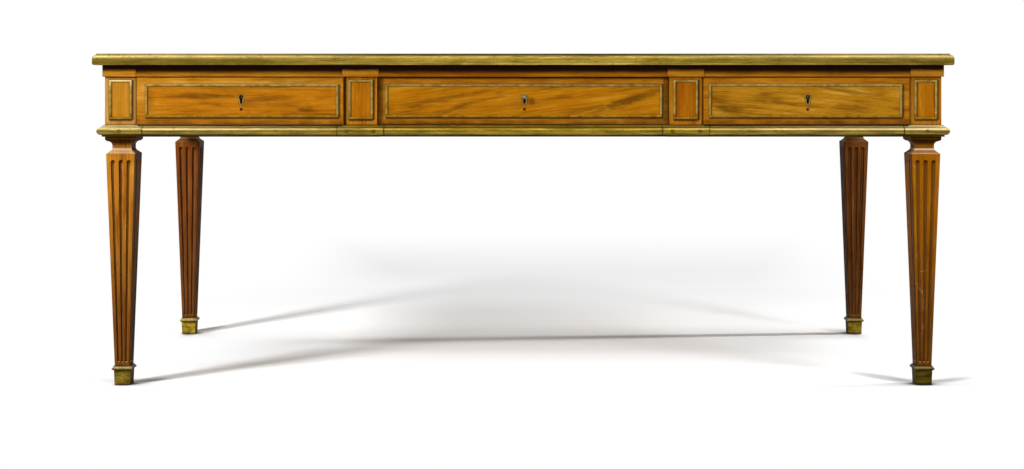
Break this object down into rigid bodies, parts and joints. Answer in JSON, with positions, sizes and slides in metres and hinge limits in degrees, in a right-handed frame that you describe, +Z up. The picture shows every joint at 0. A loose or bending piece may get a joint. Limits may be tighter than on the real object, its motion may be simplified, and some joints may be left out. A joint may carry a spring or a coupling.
{
  "type": "flat-topped writing desk",
  "caption": "Flat-topped mahogany writing desk with a brass-edged leather top, brass-framed frieze drawers and fluted tapered legs in brass shoes.",
  "frame": {"origin": "on the floor under the centre of the desk", "axes": "+X to the right of a person facing the drawers, +Y to the back, +Z up; the drawers open towards -Y"},
  "size_m": [1.978, 0.904, 0.768],
  "materials": {
    "mahogany": "faded golden-brown mahogany under old wax polish",
    "oak": "plain unpolished oak",
    "brass": "old lacquered brass with brown in its hollows",
    "leather": "brown writing leather with a plain gilt border",
    "steel": "dull iron and steel"
  },
  "bodies": {
    "root": {"leg_front_left": "mahogany", "leg_front_right": "mahogany", "leg_back_left": "mahogany", "leg_back_right": "mahogany", "sabot_front_left": "brass", "sabot_front_right": "brass", "sabot_back_left": "brass", "sabot_back_right": "brass", "front_upper_rail": "mahogany", "front_lower_rail": "mahogany", "back_upper_rail": "mahogany", "back_lower_rail": "mahogany", "stile_front_left": "mahogany", "stile_front_right": "mahogany", "back_stiles": "mahogany", "back_panels": "mahogany", "side_apron_left": "mahogany", "side_apron_right": "mahogany", "partition_left": "oak", "partition_right": "oak", "drawer_runners": "oak", "drawer_kickers": "oak", "drawer_stops": "oak", "rail_caps": "mahogany", "top_board": "mahogany", "leather_top": "leather", "top_moulding_front": "brass", "top_moulding_back": "brass", "top_moulding_left": "brass", "top_moulding_right": "brass", "corner_mouldings": "brass", "stile_mouldings": "brass", "bay_mouldings": "brass", "panel_frames": "brass", "moulding_screws": "brass", "top_screws": "steel"},
    "drawer_left": {"drawer_left_front": "mahogany", "drawer_left_sides": "oak", "drawer_left_back": "oak", "drawer_left_bottom": "oak", "drawer_left_frame": "brass", "drawer_left_escutcheon": "brass", "drawer_left_lock": "brass"},
    "drawer_centre": {"drawer_centre_front": "mahogany", "drawer_centre_sides": "oak", "drawer_centre_back": "oak", "drawer_centre_bottom": "oak", "drawer_centre_frame": "brass", "drawer_centre_escutcheon": "brass", "drawer_centre_lock": "brass"},
    "drawer_right": {"drawer_right_front": "mahogany", "drawer_right_sides": "oak", "drawer_right_back": "oak", "drawer_right_bottom": "oak", "drawer_right_frame": "brass", "drawer_right_escutcheon": "brass", "drawer_right_lock": "brass"},
    "bolt_left": {"drawer_left_bolt": "steel"},
    "bolt_centre": {"drawer_centre_bolt": "steel"},
    "bolt_right": {"drawer_right_bolt": "steel"}
  },
  "joints": [
    {"name": "drawer_left_slide", "type": "slide", "parent": "root", "child": "drawer_left", "axis": [0, -1, 0], "range_m": [0, 0.4]},
    {"name": "drawer_centre_slide", "type": "slide", "parent": "root", "child": "drawer_centre", "axis": [0, -1, 0], "range_m": [0, 0.4]},
    {"name": "drawer_right_slide", "type": "slide", "parent": "root", "child": "drawer_right", "axis": [0, -1, 0], "range_m": [0, 0.4]},
    {"name": "bolt_left_rise", "type": "slide", "parent": "drawer_left", "child": "bolt_left", "axis": [0, 0, 1], "range_m": [0, 0.007]},
    {"name": "bolt_centre_rise", "type": "slide", "parent": "drawer_centre", "child": "bolt_centre", "axis": [0, 0, 1], "range_m": [0, 0.007]},
    {"name": "bolt_right_rise", "type": "slide", "parent": "drawer_right", "child": "bolt_right", "axis": [0, 0, 1], "range_m": [0, 0.007]}
  ]
}
